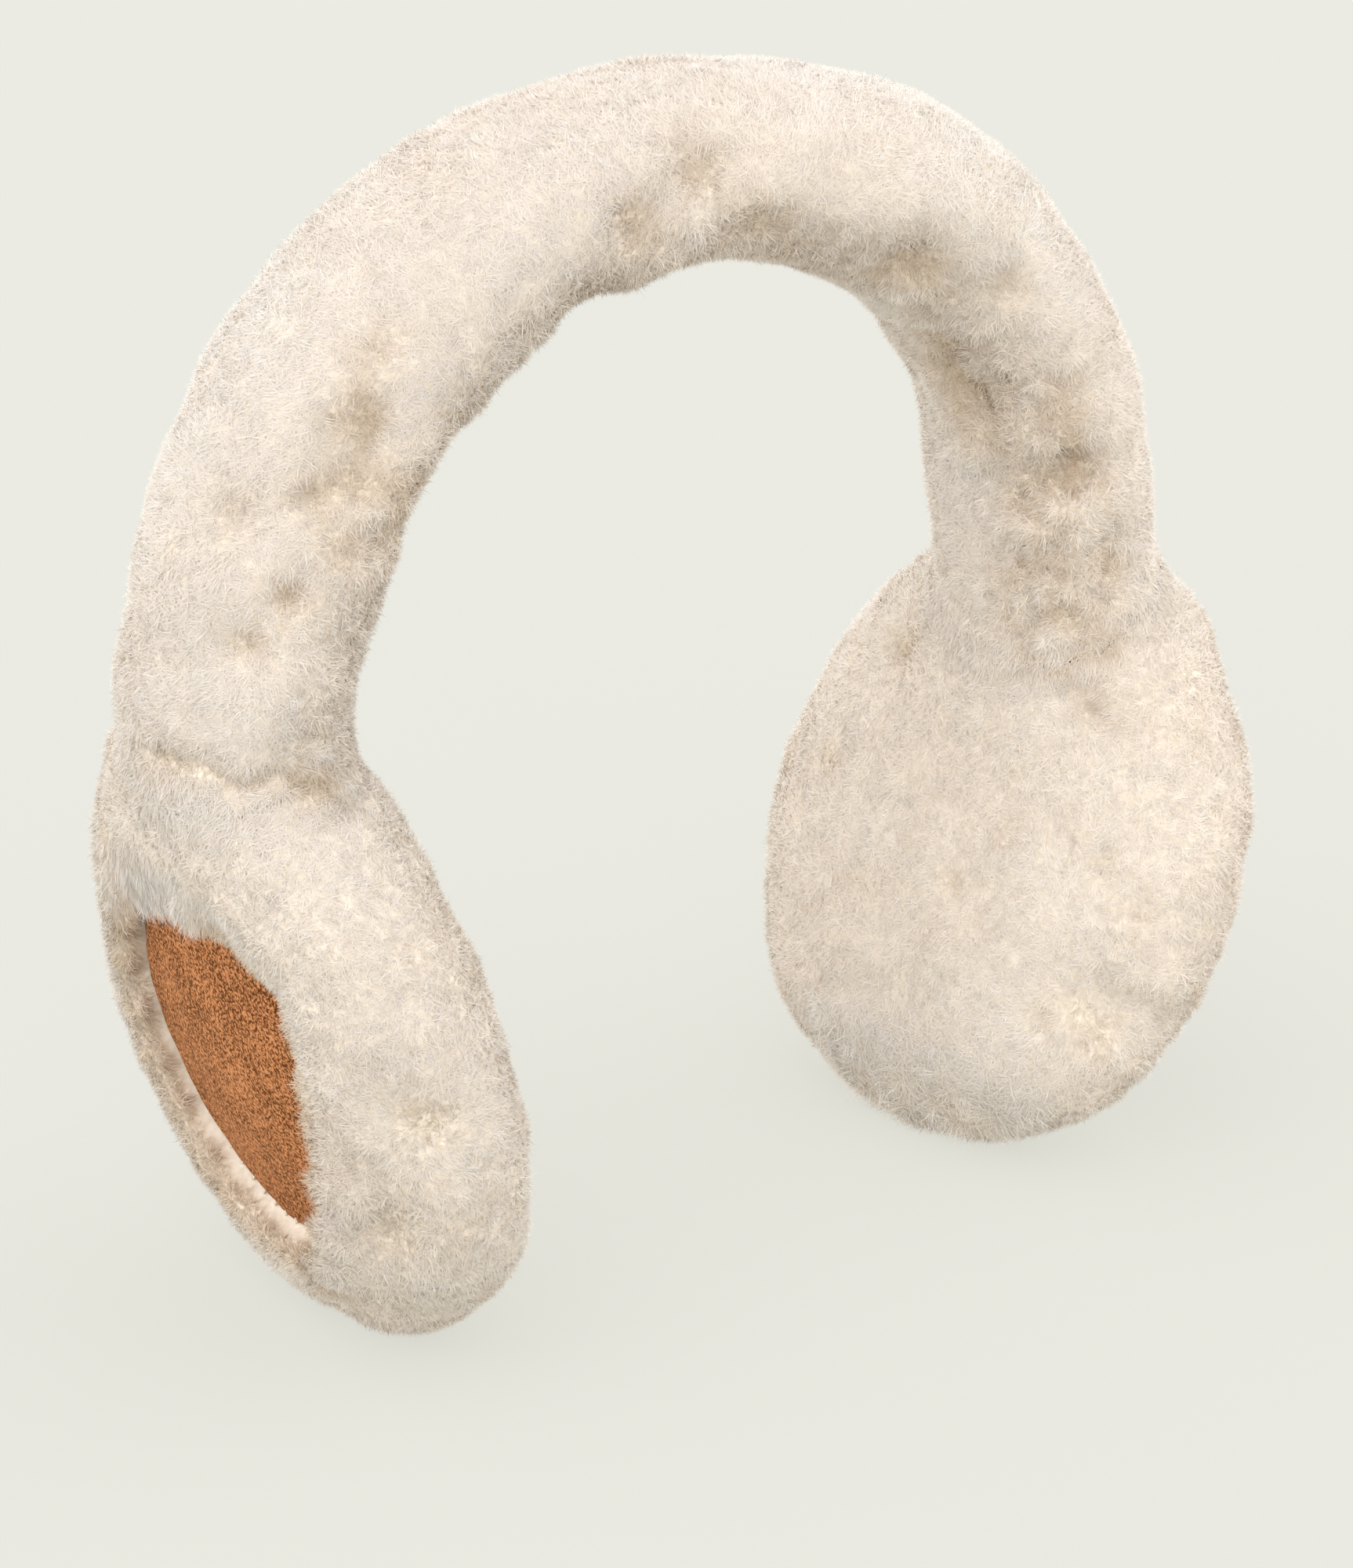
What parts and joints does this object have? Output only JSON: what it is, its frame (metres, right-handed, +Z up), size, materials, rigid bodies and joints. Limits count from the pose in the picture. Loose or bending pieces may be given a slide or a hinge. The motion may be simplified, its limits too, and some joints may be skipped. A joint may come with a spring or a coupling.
{
  "type": "fur earmuffs",
  "caption": "Sheared sheepskin earmuffs: a fat curved fur headband with a round fur cup at each end and a domed suede disc in each cup's outer face.",
  "frame": {"origin": "on the floor under the middle of the outline, with the earmuffs standing on their two cups", "axes": "+Z up through the top of the headband, X across the head with -X towards the left cup, Y from the front to the back"},
  "size_m": [0.2006, 0.103, 0.1952],
  "materials": {
    "fur": "sheared cream sheepskin pile, matt, with soft tan partings",
    "suede": "chestnut suede with a short speckled nap, matt"
  },
  "bodies": {
    "root": {"headband_sleeve": "fur", "left_ear_cup": "fur", "right_ear_cup": "fur", "left_suede_disc": "suede", "right_suede_disc": "suede"}
  },
  "joints": []
}
